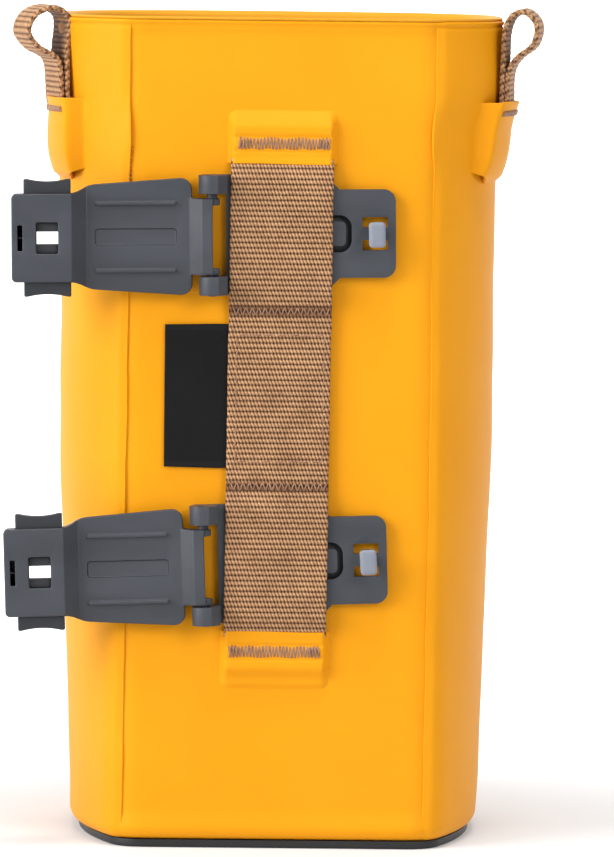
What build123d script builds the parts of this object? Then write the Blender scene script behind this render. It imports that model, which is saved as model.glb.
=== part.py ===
from build123d import *

import os
from math import cos, radians, sin

# A stand-up bottle sling: a coated-fabric pouch with a flat back panel, two carry loops and a webbing
# strip that holds two hinged webbing clips. Millimetres. +Z is up, the back panel faces -Y, and the
# origin is the centre of the sole on the ground.

# ---------------------------------------------------------------- driving dimensions of the pouch
HEIGHT = 206.0  # ground to rim
WEBBING = 25.4  # width of the back webbing strip, the 1 inch size
LOOP_WEBBING = 16.0  # width of the carry loops' webbing
WEBBING_THICK = 1.6
SHEET = 1.0  # coated fabric
LINER_SHEET = 0.8
LAYER_GAP = 0.05  # between neighbouring layers
SOLE_THICK = 2.0
PAD_THICK = 4.0

BACK_Y = -49.0  # outermost face of the flat back
SEAM_X = 37.5  # cut edge of the side wrap, either side of the back panel
PANEL_LAP = 6.5  # the back panel reaches this far under the wrap
FOOT_ROUND = 3.0  # bend at the foot of the wrap
FLANGE = 8.0  # turned-in bottom flange of the wrap

# how each clip sits on the strip: height of its middle, how far it has slid sideways, and how many
# degrees its arm end hangs down
UPPER_CLIP = {"z": 153.4, "shift": 0.6, "tilt": 0.9}
LOWER_CLIP = {"z": 71.95, "shift": -0.6, "tilt": 2.1}

# the pouch's plan at three levels: half the flat back, heading of the side where it leaves the back
# corner, half the greatest width, how far behind the back that width lies, and the whole depth
PLANS = (
    {"z": SOLE_THICK, "flat": 33.0, "heading": 66.0, "half": 51.5, "widest": 47.0, "depth": 98.0},
    {"z": 110.0, "flat": 33.0, "heading": 48.0, "half": 54.5, "widest": 38.0, "depth": 95.0},
    {"z": HEIGHT, "flat": 34.0, "heading": 30.0, "half": 56.5, "widest": 28.0, "depth": 88.0},
)
CORNER_R = 11.0
OUTLINE_STEPS = 4  # stations on each half of a quarter outline

# ---------------------------------------------------------------- driving dimensions of the clips
# "along" is measured from the hinge axis, "rise" from the axis towards the side the clip opens to
PANEL_Y = BACK_Y + SHEET + LAYER_GAP  # outer face of the back panel
PLATE_THICK = 2.0
PLATE_GAP = 0.1  # between the base plate and the panel
AXIS_RISE = 3.2  # hinge axis in front of the base plate's face
PLATE_Y = PANEL_Y - PLATE_GAP - PLATE_THICK  # front face of the base plate
AXIS_Y = PLATE_Y - AXIS_RISE
AXIS_X = -WEBBING / 2 - 4.7
STUD_ALONG = 40.6  # hinge axis to stud, and to the arm's window
PLATE_START = 3.4  # edge of the plate between the knuckles
PLATE_HALF = 14.8  # half the height of the plate's broad part
TAB_START = 31.5
TAB_HALF = 10.9  # half the height of the plate's tab and of the arm's latch housing
TAB_END = 45.3
SHUT_OFF = (6.2, 8.2)  # opening in the plate under the stud, crossed by a bridge
BRIDGE = 3.1
STEM = (3.0, 2.0)
HEAD = (4.1, 6.2)
HEAD_LOW = 4.0  # underside and top of the stud's head, above the plate
HEAD_TOP = 6.2
TONGUE = (6.0, 33.0)  # spring tongue: height, and reach from the hinge axis
TONGUE_SLOT = (9.2, 34.4)  # the slot round it
TONGUE_ROOT = 8.0

TRUNNION_R = 1.25
BORE_R = 1.30
KNUCKLE_R = 3.3
KNUCKLE_IN = 10.26  # inner and outer faces of the knuckles, from the clip's middle
KNUCKLE_OUT = 14.8
ARM_DROP = 0.4  # the arm rests this far below the plate's middle, on its end play
BAR_HALF = 9.46  # half the length of the arm's hinge bar
BAR_R = 1.9
DISC_THICK = 1.7
TRUNNION_END = 14.7

GRIP_RISE = -1.4  # inner face of the arm's broad part
GRIP_THICK = 2.2
GRIP_START = 5.0
GRIP_HALF = 14.6
SHOULDER = (30.4, 12.9)  # where the broad part ends, and half its height there
RAMP_START = 31.0
HOUSING_START = 34.6
HOUSING_END = 49.4
HOUSING_RISE = AXIS_RISE - 0.1  # shut, this face lies just off the plate
HOUSING_THICK = 4.8
HOUSING_WALL = 1.0
FACE_WALL = 1.2
COVER_THICK = 1.0
WINDOW = (5.4, 7.7)
END_SLOT = (1.2, 6.3)
END_SLOT_ALONG = 6.7  # from the window's middle
RIB_HALF_GAP = 8.3
RIB = (20.0, 0.9, 1.2)
RIB_ALONG = 18.9
RECESS = (20.0, 3.9)

BUTTON_WIDE = 11.6
BUTTON_THICK = 2.4
BUTTON_OUT = 14.5  # outer end of a button from the arm's middle
BUTTON_IN = 8.5
JAW_IN = 1.55
JAW_LONG = 2.4
RAIL = (2.9, 5.5)  # a button's rail, either side of the window's middle
SLIDE_GAP = 0.1
LUG_OUT = 7.7
LUG_THICK = 1.3
SPRING_ALONG = 6.75  # from the window's middle
SPRING_R = 0.65
WIRE_R = 0.15
SPRING_TURNS = 7
SPRING_SHELF = 0.4

os.makedirs("parts", exist_ok=True)


def write(part, name):
    """Labels a finished piece and writes it as its own STEP file."""
    part.label = name
    export_step(part, f"parts/{name}.step")


# ---------------------------------------------------------------- pouch
def stations(level, inset):
    """Points and headings round the sides and front of one level, moved in by inset."""
    turn = radians(level["heading"])
    foot = (level["flat"] + CORNER_R * sin(turn), BACK_Y + CORNER_R * (1 - cos(turn)))
    widest = (level["half"], BACK_Y + level["widest"])
    front = (0, BACK_Y + level["depth"])
    with BuildLine() as quarter:
        Spline(foot, widest, front, tangents=((cos(turn), sin(turn)), (0, 1), (-1, 0)))
    points = []
    headings = []
    for step in range(2 * OUTLINE_STEPS + 1):
        share = step / (2 * OUTLINE_STEPS)
        spot = quarter.line @ share
        heading = quarter.line % share
        points.append((spot.X - inset * heading.Y, spot.Y + inset * heading.X))
        headings.append((heading.X, heading.Y))
    mirrored = [(-x, y) for x, y in reversed(points[:-1])]
    mirrored_headings = [(x, -y) for x, y in reversed(headings[:-1])]
    return points + mirrored, headings + mirrored_headings


def plan(level, inset):
    """The closed outline of the pouch at one level, moved in by inset, as a sketch."""
    points, headings = stations(level, inset)
    with BuildSketch(Plane.XY.offset(level["z"])) as outline:
        with BuildLine():
            back = Line((-level["flat"], BACK_Y + inset), (level["flat"], BACK_Y + inset))
            TangentArc(back @ 1, points[0], tangent=back % 1)
            Spline(*points, tangents=headings)
            TangentArc(back @ 0, points[-1], tangent=(-1, 0))
        make_face()
    return outline.sketch


FORMS = {}


def pouch_form(inset, low, high):
    """The solid inside the pouch's walls, moved in by inset, between two heights."""
    if inset not in FORMS:
        with BuildPart() as whole:
            loft([plan(level, inset) for level in PLANS])
        FORMS[inset] = whole.part
    with BuildPart() as form:
        add(FORMS[inset])
        with BuildSketch(Plane.XY.offset(low)):
            Rectangle(300, 300)
        extrude(amount=high - low, mode=Mode.INTERSECT)
    return form.part


def block(x_range, y_range, z_range):
    """A block between two corners, used to cut and to trim."""
    with BuildPart() as piece:
        with BuildSketch(Plane.XY.offset(z_range[0])):
            with Locations((sum(x_range) / 2, sum(y_range) / 2)):
                Rectangle(x_range[1] - x_range[0], y_range[1] - y_range[0])
        extrude(amount=z_range[1] - z_range[0])
    return piece.part


LAYER_2 = SHEET + LAYER_GAP  # outer faces of the second and third layers
LAYER_3 = LAYER_2 + SHEET + LAYER_GAP
FLOOR_1 = SOLE_THICK + SHEET + LAYER_GAP  # undersides of the base panel, pad and liner floor
FLOOR_2 = FLOOR_1 + SHEET + LAYER_GAP
FLOOR_3 = FLOOR_2 + PAD_THICK + LAYER_GAP
PANEL_HALF = SEAM_X + PANEL_LAP
SEAM_FOOT = SOLE_THICK + FOOT_ROUND + 0.5
STIFFENER_TOP = HEIGHT - 6
SOLE_INSET = 1.8

# side wrap: front and sides in one sheet, with a turned-in flange at its foot
with BuildPart() as side_wrap:
    add(pouch_form(0, SOLE_THICK, HEIGHT))
    fillet(side_wrap.faces().sort_by(Axis.Z)[0].edges(), radius=FOOT_ROUND)
    add(pouch_form(SHEET, SOLE_THICK + SHEET, HEIGHT), mode=Mode.SUBTRACT)
    add(pouch_form(FLANGE, SOLE_THICK, SOLE_THICK + SHEET), mode=Mode.SUBTRACT)
    add(block((-SEAM_X, SEAM_X), (BACK_Y - 1, 0), (SEAM_FOOT, HEIGHT)), mode=Mode.SUBTRACT)
write(side_wrap.part, "side_wrap")

# back panel: flat sheet lapped under the wrap's two cut edges
with BuildPart() as back_panel:
    add(pouch_form(LAYER_2, FLOOR_2, HEIGHT))
    add(pouch_form(LAYER_2 + SHEET, FLOOR_2, HEIGHT), mode=Mode.SUBTRACT)
    add(block((-PANEL_HALF, PANEL_HALF), (BACK_Y, -20), (FLOOR_2, HEIGHT)), mode=Mode.INTERSECT)
write(back_panel.part, "back_panel")

# wall stiffener: thin board in the same layer, round the sides and front
with BuildPart() as wall_stiffener:
    add(pouch_form(LAYER_2, FLOOR_2, STIFFENER_TOP))
    add(pouch_form(LAYER_2 + SHEET, FLOOR_2, STIFFENER_TOP), mode=Mode.SUBTRACT)
    add(
        block((-PANEL_HALF - 0.5, PANEL_HALF + 0.5), (BACK_Y, -15), (FLOOR_2, STIFFENER_TOP)),
        mode=Mode.SUBTRACT,
    )
write(wall_stiffener.part, "wall_stiffener")

# inner liner: a cup that lines the walls and the pad
with BuildPart() as inner_liner:
    add(pouch_form(LAYER_3, FLOOR_3, HEIGHT - 0.5))
    add(pouch_form(LAYER_3 + LINER_SHEET, FLOOR_3 + LINER_SHEET, HEIGHT), mode=Mode.SUBTRACT)
write(inner_liner.part, "inner_liner")

write(pouch_form(LAYER_2, FLOOR_1, FLOOR_1 + SHEET), "base_panel")
write(pouch_form(LAYER_3, FLOOR_2, FLOOR_2 + PAD_THICK), "base_pad")

# sole: the part that meets the ground, a little smaller than the pouch
with BuildPart() as base_sole:
    with BuildSketch():
        add(plan(PLANS[0], SOLE_INSET).moved(Location((0, 0, -SOLE_THICK))))
    extrude(amount=SOLE_THICK)
    chamfer(base_sole.faces().sort_by(Axis.Z)[0].edges(), length=0.5)
write(base_sole.part, "base_sole")

# ---------------------------------------------------------------- webbing strip and what is sewn with it
PATCH_UP = (170.7, 184.2)  # foot and top of the upper anchor patch
PATCH_DOWN = (39.8, 54.7)
PATCH_WIDE = 27.6
PATCH_SHEET = 0.9
TAIL = 10.0  # webbing hidden under each patch
LABEL_THICK = 0.6
LABEL_Z = (95.2, 130.9)
LABEL_X = (-WEBBING / 2 - 15.6, -WEBBING / 2 + 5.0)
ON_PANEL = PANEL_Y - LAYER_GAP  # rear face of what lies on the panel
ON_PLATE = PLATE_Y - 0.1  # rear face of the webbing where it crosses a clip's plate
ON_LABEL = ON_PANEL - LABEL_THICK - LAYER_GAP
PLATE_CLEAR = PLATE_HALF + 0.8
DIP = 2.2  # height over which the strip drops from a plate to the panel


def webbing_face(rear):
    """One face of the strip, from its top end to its lower end, as (y, z) points."""
    upper, lower = UPPER_CLIP["z"], LOWER_CLIP["z"]
    return (
        (ON_PANEL + rear, PATCH_UP[0] + TAIL),
        (ON_PANEL + rear, PATCH_UP[0] + 0.6),
        (ON_PLATE + rear, upper + PLATE_CLEAR),
        (ON_PLATE + rear, upper - PLATE_CLEAR),
        (ON_LABEL + rear, upper - PLATE_CLEAR - DIP),
        (ON_LABEL + rear, lower + PLATE_CLEAR + DIP),
        (ON_PLATE + rear, lower + PLATE_CLEAR),
        (ON_PLATE + rear, lower - PLATE_CLEAR),
        (ON_PANEL + rear, PATCH_DOWN[1] - 0.6),
        (ON_PANEL + rear, PATCH_DOWN[1] - TAIL),
    )


with BuildPart() as webbing_strip:
    with BuildSketch(Plane(origin=(-WEBBING / 2, 0, 0), x_dir=(0, 1, 0), z_dir=(1, 0, 0))):
        with BuildLine():
            Polyline(*webbing_face(0), *reversed(webbing_face(-WEBBING_THICK)), close=True)
        make_face()
    extrude(amount=WEBBING)
write(webbing_strip.part, "webbing_strip")

# anchor patches: welded over the two ends of the strip, open towards its middle
for name, (low, high), mouth_index in (
    ("upper_anchor_patch", PATCH_UP, 0),
    ("lower_anchor_patch", PATCH_DOWN, -1),
):
    level = Plane(origin=(0, ON_PANEL, (low + high) / 2), x_dir=(1, 0, 0), z_dir=(0, -1, 0))
    with BuildPart() as patch:
        with BuildSketch(level):
            RectangleRounded(PATCH_WIDE, high - low, 1.0)
        extrude(amount=WEBBING_THICK + PATCH_SHEET + 0.1)
        outer = patch.faces().sort_by(Axis.Y)[0].edges()
        mouth = outer.sort_by(Axis.Z)[mouth_index]
        chamfer([edge for edge in outer if edge != mouth], length=0.6)
        add(webbing_strip.part, mode=Mode.SUBTRACT)
    write(patch.part.solids().sort_by(SortBy.VOLUME)[-1], name)

# label: a folded woven tab caught under the strip's edge
with BuildPart() as label_tab:
    add(block(LABEL_X, (ON_PANEL - LABEL_THICK, ON_PANEL), LABEL_Z))
    fillet(label_tab.edges().filter_by(Axis.Z).group_by(Axis.X)[0], radius=0.25)
write(label_tab.part, "label_tab")

# ---------------------------------------------------------------- carry loops
LOOP_Y = -27.0  # middle of the loops' width
PATCH_TOP = 186.0
PATCH_FOOT = 164.8
PATCH_HALF = 17.0  # half the width of a side patch
BULGE_HALF = 9.2  # half the width of its part that is raised over the tails
TAIL_FOOT = 169.0
TAIL_OUT = 2 * WEBBING_THICK + 0.2  # two plies
TAIL_TOP = PATCH_TOP + 0.4  # the two plies part just above the patch's mouth
LOOP_HALF = LOOP_WEBBING / 2
STRAP_STEPS = 24
# middle line of a loop as it leaves the patch, goes round its eye and comes back: distance out from
# the middle of the two plies, and height above the patch
EYE = (
    (-0.85, 0.1),
    (-0.25, 5.0),
    (-0.3, 12.0),
    (0.0, 17.0),
    (2.0, 20.4),
    (5.4, 20.8),
    (8.4, 17.6),
    (7.6, 13.6),
    (4.0, 11.0),
    (1.9, 8.4),
    (1.45, 5.0),
    (0.85, 0.1),
)
wall_x = pouch_form(0, PATCH_TOP - 1, PATCH_TOP).bounding_box().max.X
LOOP_X = wall_x + TAIL_OUT / 2 + LAYER_GAP


def free_loop(side, tail_x):
    """The part of a loop above its patch, as one bent strap; side is 1 or -1."""
    path = [(side * (tail_x + out), PATCH_TOP + up) for out, up in EYE]
    with BuildLine() as middle_line:
        Spline(*path, tangents=((0, 1), (0, -1)))
    inner = []
    outer = []
    for step in range(STRAP_STEPS + 1):
        spot = middle_line.line @ (step / STRAP_STEPS)
        heading = middle_line.line % (step / STRAP_STEPS)
        shift = (heading.Y * WEBBING_THICK / 2, -heading.X * WEBBING_THICK / 2)
        inner.append((spot.X + shift[0], spot.Y + shift[1]))
        outer.append((spot.X - shift[0], spot.Y - shift[1]))
    plane = Plane(origin=(0, LOOP_Y + LOOP_HALF, 0), x_dir=(1, 0, 0), z_dir=(0, -1, 0))
    with BuildPart() as strap:
        with BuildSketch(plane):
            with BuildLine():
                Spline(*inner)
                Line(inner[-1], outer[-1])
                Spline(*outer)
                Line(outer[0], inner[0])
            make_face()
        extrude(amount=LOOP_WEBBING)
    return strap.part


for word, side in (("right", 1), ("left", -1)):
    front_reach = (LOOP_Y - LOOP_HALF, LOOP_Y + LOOP_HALF)
    half_space = (40, 70) if side > 0 else (-70, -40)
    with BuildPart() as carry_loop:
        add(pouch_form(-TAIL_OUT, TAIL_FOOT, TAIL_TOP))
        add(pouch_form(-LAYER_GAP, TAIL_FOOT, TAIL_TOP), mode=Mode.SUBTRACT)
        add(block(half_space, front_reach, (TAIL_FOOT, TAIL_TOP)), mode=Mode.INTERSECT)
        add(free_loop(side, LOOP_X))
    write(carry_loop.part, f"carry_loop_{word}")

    with BuildPart() as pocket:
        add(pouch_form(-TAIL_OUT - LAYER_GAP, TAIL_FOOT - 0.1, PATCH_TOP))
        wide = (front_reach[0] - 0.1, front_reach[1] + 0.1)
        add(block(half_space, wide, (0, HEIGHT)), mode=Mode.INTERSECT)
    with BuildPart() as bulge:
        add(pouch_form(-TAIL_OUT - LAYER_GAP - PATCH_SHEET, TAIL_FOOT - 1, PATCH_TOP))
        wide = (LOOP_Y - BULGE_HALF, LOOP_Y + BULGE_HALF)
        add(block(half_space, wide, (0, HEIGHT)), mode=Mode.INTERSECT)
    with BuildPart() as side_patch:
        add(pouch_form(-LAYER_GAP - PATCH_SHEET, PATCH_FOOT, PATCH_TOP))
        add(bulge.part)
        add(pouch_form(-LAYER_GAP, PATCH_FOOT, PATCH_TOP), mode=Mode.SUBTRACT)
        with BuildSketch(Plane(origin=(0, LOOP_Y, PATCH_TOP), x_dir=(0, 1, 0), z_dir=(1, 0, 0))):
            drop = PATCH_TOP - PATCH_FOOT
            side_foot = PATCH_HALF - drop
            with BuildLine():
                Polyline((-PATCH_HALF, side_foot), (-PATCH_HALF, 0), (PATCH_HALF, 0), (PATCH_HALF, side_foot))
                ThreePointArc((PATCH_HALF, side_foot), (0, -drop), (-PATCH_HALF, side_foot))
            make_face()
        extrude(amount=side * 80, mode=Mode.INTERSECT)
        add(pocket.part, mode=Mode.SUBTRACT)
    write(side_patch.part, f"side_patch_{word}")

# ---------------------------------------------------------------- clips
COVER_RISE = HOUSING_RISE - HOUSING_THICK + COVER_THICK  # inner face of the latch cover
CAVITY_RISE = HOUSING_RISE - FACE_WALL  # back of the housing's face wall
CAVITY_HALF = TAB_HALF - HOUSING_WALL
CAVITY_END = HOUSING_END - HOUSING_WALL


def depth(rise):
    """The y of something at a rise from the hinge axis."""
    return AXIS_Y - rise


def front_plane(rise, middle):
    """A drawing plane facing the viewer of the clip, with the hinge axis at its origin."""
    return Plane(origin=(AXIS_X, depth(rise), middle), x_dir=(1, 0, 0), z_dir=(0, -1, 0))


def clip_base(middle):
    """Base plate under the webbing: knuckles, stud on its bridge, and the spring tongue."""
    foot = -AXIS_RISE - PLATE_THICK
    with BuildPart() as base:
        with BuildSketch(front_plane(foot, middle)):
            with BuildLine():
                Polyline(
                    (PLATE_START, -PLATE_HALF),
                    (TAB_START - 4, -PLATE_HALF),
                    (TAB_START, -TAB_HALF),
                    (TAB_END, -TAB_HALF),
                    (TAB_END, TAB_HALF),
                    (TAB_START, TAB_HALF),
                    (TAB_START - 4, PLATE_HALF),
                    (PLATE_START, PLATE_HALF),
                    close=True,
                )
            outline = make_face()
            fillet(outline.vertices().group_by(Axis.X)[-1], radius=3.0)
        extrude(amount=PLATE_THICK)
        # knuckles
        for low in (KNUCKLE_IN, -KNUCKLE_OUT):
            with BuildSketch(Plane.XY.offset(middle + low)):
                with Locations((AXIS_X, AXIS_Y)):
                    Circle(KNUCKLE_R)
                with BuildLine():
                    Polyline(
                        (AXIS_X, depth(KNUCKLE_R)),
                        (AXIS_X + 1.5, depth(KNUCKLE_R)),
                        (AXIS_X + PLATE_START + 0.3, depth(1.0)),
                        (AXIS_X + PLATE_START + 0.3, depth(foot)),
                        (AXIS_X - 2.0, depth(foot)),
                        (AXIS_X - KNUCKLE_R, depth(-1.5)),
                        close=True,
                    )
                make_face()
                # the knuckle's back is flat where it lies on the panel
                with Locations((AXIS_X, depth(foot - 5))):
                    Rectangle(20, 10, mode=Mode.SUBTRACT)
            extrude(amount=KNUCKLE_OUT - KNUCKLE_IN)
        with Locations(Location((AXIS_X, AXIS_Y, middle))):
            Cylinder(radius=BORE_R, height=2 * KNUCKLE_OUT + 1, mode=Mode.SUBTRACT)
        # opening under the stud, in two halves beside the bridge
        with BuildSketch(front_plane(foot, middle)):
            for sign in (1, -1):
                tall = (SHUT_OFF[1] - BRIDGE) / 2
                with Locations((STUD_ALONG - 0.4, sign * (BRIDGE + tall) / 2)):
                    Rectangle(SHUT_OFF[0], tall)
            # slot round the spring tongue
            with Locations(((TONGUE_ROOT + TONGUE_SLOT[1]) / 2, 0)):
                RectangleRounded(TONGUE_SLOT[1] - TONGUE_ROOT, TONGUE_SLOT[0], 3.0)
            with Locations(((TONGUE_ROOT + TONGUE[1]) / 2 - 1, 0)):
                RectangleRounded(TONGUE[1] - TONGUE_ROOT + 2, TONGUE[0], 1.2, mode=Mode.SUBTRACT)
        extrude(amount=PLATE_THICK, mode=Mode.SUBTRACT)
        # stud
        with BuildSketch(front_plane(-AXIS_RISE, middle)):
            with Locations((STUD_ALONG, 0)):
                Rectangle(*STEM)
        extrude(amount=HEAD_LOW + 0.2)
        with BuildSketch(front_plane(-AXIS_RISE + HEAD_LOW, middle)):
            with Locations((STUD_ALONG, 0)):
                RectangleRounded(*HEAD, 0.9)
        extrude(amount=HEAD_TOP - HEAD_LOW)
        head_face = (AXIS_X + STUD_ALONG, depth(HEAD_TOP - AXIS_RISE), middle)
        chamfer(base.faces().sort_by_distance(head_face)[0].edges(), length=0.6)
    return base.part


def clip_arm(middle):
    """Swinging arm: hinge bar with trunnions, broad part, ramp, and the housing of the latch."""
    back = GRIP_RISE - GRIP_THICK
    housing_back = HOUSING_RISE - HOUSING_THICK
    side_view = Plane(origin=(AXIS_X, AXIS_Y, middle - GRIP_HALF), x_dir=(-1, 0, 0), z_dir=(0, 0, 1))
    with BuildPart() as arm:
        # the drawing's second axis runs towards the viewer of the clip
        with BuildSketch(side_view):
            with BuildLine():
                Polyline(
                    (GRIP_START, GRIP_RISE),
                    (RAMP_START, GRIP_RISE),
                    (HOUSING_START, HOUSING_RISE),
                    (HOUSING_END, HOUSING_RISE),
                    (HOUSING_END, housing_back),
                    (HOUSING_START, housing_back),
                    (RAMP_START + 1.0, back),
                    (GRIP_START, back),
                    close=True,
                )
            make_face()
        extrude(amount=2 * GRIP_HALF)
        with BuildSketch(front_plane(-10, middle)):
            with BuildLine():
                Polyline(
                    (-GRIP_START, -GRIP_HALF),
                    (-SHOULDER[0], -SHOULDER[1]),
                    (-HOUSING_START + 0.9, -TAB_HALF),
                    (-HOUSING_END, -TAB_HALF),
                    (-HOUSING_END, TAB_HALF),
                    (-HOUSING_START + 0.9, TAB_HALF),
                    (-SHOULDER[0], SHOULDER[1]),
                    (-GRIP_START, GRIP_HALF),
                    close=True,
                )
            make_face()
            fillet(vertices().group_by(Axis.X)[-1], radius=2.8)
            fillet(vertices().group_by(Axis.X)[0], radius=1.2)
            waist = [corner for corner in vertices() if -HOUSING_START < corner.X < -SHOULDER[0] + 0.1]
            fillet(waist, radius=7.0)
        extrude(amount=20, mode=Mode.INTERSECT)
        fillet(arm.faces().sort_by(Axis.Y)[0].edges(), radius=0.4)
        # hinge bar, its leaf and the trunnions
        with BuildSketch(Plane.XY.offset(middle - BAR_HALF)):
            with Locations((AXIS_X, AXIS_Y)):
                Circle(BAR_R)
            with BuildLine():
                Polyline(
                    (AXIS_X + 0.4, depth(BAR_R)),
                    (AXIS_X - 2.6, depth(BAR_R - 0.2)),
                    (AXIS_X - GRIP_START - 0.6, depth(GRIP_RISE)),
                    (AXIS_X - GRIP_START - 0.6, depth(back)),
                    (AXIS_X - GRIP_START + 1.0, depth(back)),
                    (AXIS_X - 1.2, depth(-1.4)),
                    close=True,
                )
            make_face()
        extrude(amount=2 * BAR_HALF)
        with Locations(Location((AXIS_X, AXIS_Y, middle))):
            Cylinder(radius=TRUNNION_R, height=2 * TRUNNION_END)
        # between the discs at its two ends, the bar stops at the axis
        disc_in = BAR_HALF - DISC_THICK
        relief_x = (AXIS_X + 0.1, AXIS_X + BAR_R + 1)
        relief_y = (AXIS_Y - BAR_R - 1, AXIS_Y + BAR_R + 1)
        add(block(relief_x, relief_y, (middle - disc_in, middle + disc_in)), mode=Mode.SUBTRACT)
        # two ribs, and a shallow recess between them
        with BuildSketch(front_plane(GRIP_RISE - 0.2, middle)):
            with Locations((-RIB_ALONG, RIB_HALF_GAP), (-RIB_ALONG, -RIB_HALF_GAP)):
                SlotOverall(RIB[0], RIB[1])
        extrude(amount=RIB[2] + 0.2)
        with BuildSketch(front_plane(GRIP_RISE, middle)):
            with Locations((-RIB_ALONG, 0)):
                RectangleRounded(*RECESS, 0.8)
        extrude(amount=-0.35, mode=Mode.SUBTRACT)
        # cavity for the latch, open at the back, with the cover's seat
        with BuildSketch(front_plane(housing_back - 0.1, middle)):
            with Locations((-(HOUSING_START + CAVITY_END) / 2, 0)):
                Rectangle(CAVITY_END - HOUSING_START, 2 * CAVITY_HALF)
        extrude(amount=CAVITY_RISE - housing_back + 0.1, mode=Mode.SUBTRACT)
        with BuildSketch(front_plane(COVER_RISE, middle)):
            with Locations((-STUD_ALONG, 0)):
                Rectangle(BUTTON_WIDE + 2 * SLIDE_GAP, 2 * TAB_HALF + 2)
        extrude(amount=CAVITY_RISE - COVER_RISE, mode=Mode.SUBTRACT)
        # window and end slot through the face wall
        with BuildSketch(front_plane(CAVITY_RISE - 0.1, middle)):
            with Locations((-STUD_ALONG, 0)):
                RectangleRounded(*WINDOW, 0.5)
            with Locations((-STUD_ALONG - END_SLOT_ALONG, 0)):
                Rectangle(*END_SLOT)
        extrude(amount=FACE_WALL + 0.2, mode=Mode.SUBTRACT)
        # shelf that both springs stand on
        with BuildSketch(front_plane(COVER_RISE + SLIDE_GAP, middle)):
            with Locations((-(STUD_ALONG + BUTTON_WIDE / 2 + CAVITY_END) / 2 - 0.2, 0)):
                Rectangle(CAVITY_END - STUD_ALONG - BUTTON_WIDE / 2, SPRING_SHELF)
        extrude(amount=CAVITY_RISE - COVER_RISE - SLIDE_GAP)
    return arm.part


def latch_cover(middle):
    """Plate that closes the back of the housing, with a window in line with the arm's."""
    with BuildPart() as cover:
        with BuildSketch(front_plane(HOUSING_RISE - HOUSING_THICK, middle)):
            with Locations((-(HOUSING_START + CAVITY_END) / 2, 0)):
                Rectangle(CAVITY_END - HOUSING_START - 0.1, 2 * CAVITY_HALF - 0.1)
            with Locations((-STUD_ALONG, 0)):
                RectangleRounded(*WINDOW, 0.5, mode=Mode.SUBTRACT)
        extrude(amount=COVER_THICK)
    return cover.part


def latch_button(middle, sign):
    """Thumb pad, rail and jaw in one piece; sign is 1 for the upper button and -1 for the lower.

    The rail passes beside the window, so pressing the pad moves the jaw away from the stud."""
    slide_plane = front_plane(COVER_RISE + SLIDE_GAP, middle)
    pad_middle = (BUTTON_OUT + BUTTON_IN) / 2
    rail_low = -JAW_IN - JAW_LONG
    rail_x = -sign * (RAIL[0] + RAIL[1]) / 2
    with BuildPart() as button:
        with BuildSketch(slide_plane):
            with Locations((-STUD_ALONG, sign * pad_middle)):
                Rectangle(BUTTON_WIDE, BUTTON_OUT - BUTTON_IN)
            with Locations((-STUD_ALONG + rail_x, sign * (BUTTON_IN + rail_low) / 2)):
                Rectangle(RAIL[1] - RAIL[0], BUTTON_IN - rail_low)
            jaw_width = RAIL[0] + WINDOW[0] / 2 + 0.1
            with Locations((-STUD_ALONG - sign * 0.05, -sign * (JAW_IN + JAW_LONG / 2))):
                Rectangle(jaw_width, JAW_LONG)
            lug_from = BUTTON_WIDE / 2 - 0.5
            lug_level = sign * (BUTTON_IN + LUG_THICK / 2)
            with Locations((-STUD_ALONG - (LUG_OUT + lug_from) / 2, lug_level)):
                Rectangle(LUG_OUT - lug_from, LUG_THICK)
            # hollow thumb end
            with Locations((-STUD_ALONG, sign * (BUTTON_OUT + 19.4))):
                Circle(20, mode=Mode.SUBTRACT)
        extrude(amount=BUTTON_THICK)
    return button.part


def button_spring(middle, sign):
    """Coil that pushes a button outwards, standing on the shelf in the middle of the arm."""
    start = middle + sign * (SPRING_SHELF / 2 + WIRE_R + 0.05)
    length = BUTTON_IN - SPRING_SHELF / 2 - 2 * WIRE_R - 0.1
    slide_middle = (COVER_RISE + CAVITY_RISE) / 2
    centre = (AXIS_X - STUD_ALONG - SPRING_ALONG, depth(slide_middle), start)
    with BuildPart() as spring:
        with BuildLine():
            coil = Helix(
                pitch=length / SPRING_TURNS,
                height=length,
                radius=SPRING_R,
                center=centre,
                direction=(0, 0, sign),
            )
        with BuildSketch(Plane(origin=coil @ 0, z_dir=coil % 0)):
            Circle(WIRE_R)
        sweep(is_frenet=True)
    return spring.part


def seated(piece, clip):
    """A piece of a clip, slid and turned from square to where the clip sits on the strip."""
    slid = piece.moved(Location((clip["shift"], 0, 0)))
    return slid.rotate(Axis((0, 0, clip["z"]), (0, 1, 0)), -clip["tilt"])


for word, clip in (("upper", UPPER_CLIP), ("lower", LOWER_CLIP)):
    arm_middle = clip["z"] - ARM_DROP
    write(seated(clip_base(clip["z"]), clip), f"{word}_clip_base")
    write(seated(clip_arm(arm_middle), clip), f"{word}_clip_arm")
    write(seated(latch_cover(arm_middle), clip), f"{word}_latch_cover")
    for place, sign in (("top", 1), ("bottom", -1)):
        write(seated(latch_button(arm_middle, sign), clip), f"{word}_clip_{place}_button")
        write(seated(button_spring(arm_middle, sign), clip), f"{word}_clip_{place}_spring")
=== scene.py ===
from math import atan2, cos, exp, floor, pi, radians, sin

import bpy
from mathutils import Matrix, Vector, noise
from mathutils.bvhtree import BVHTree


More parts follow.
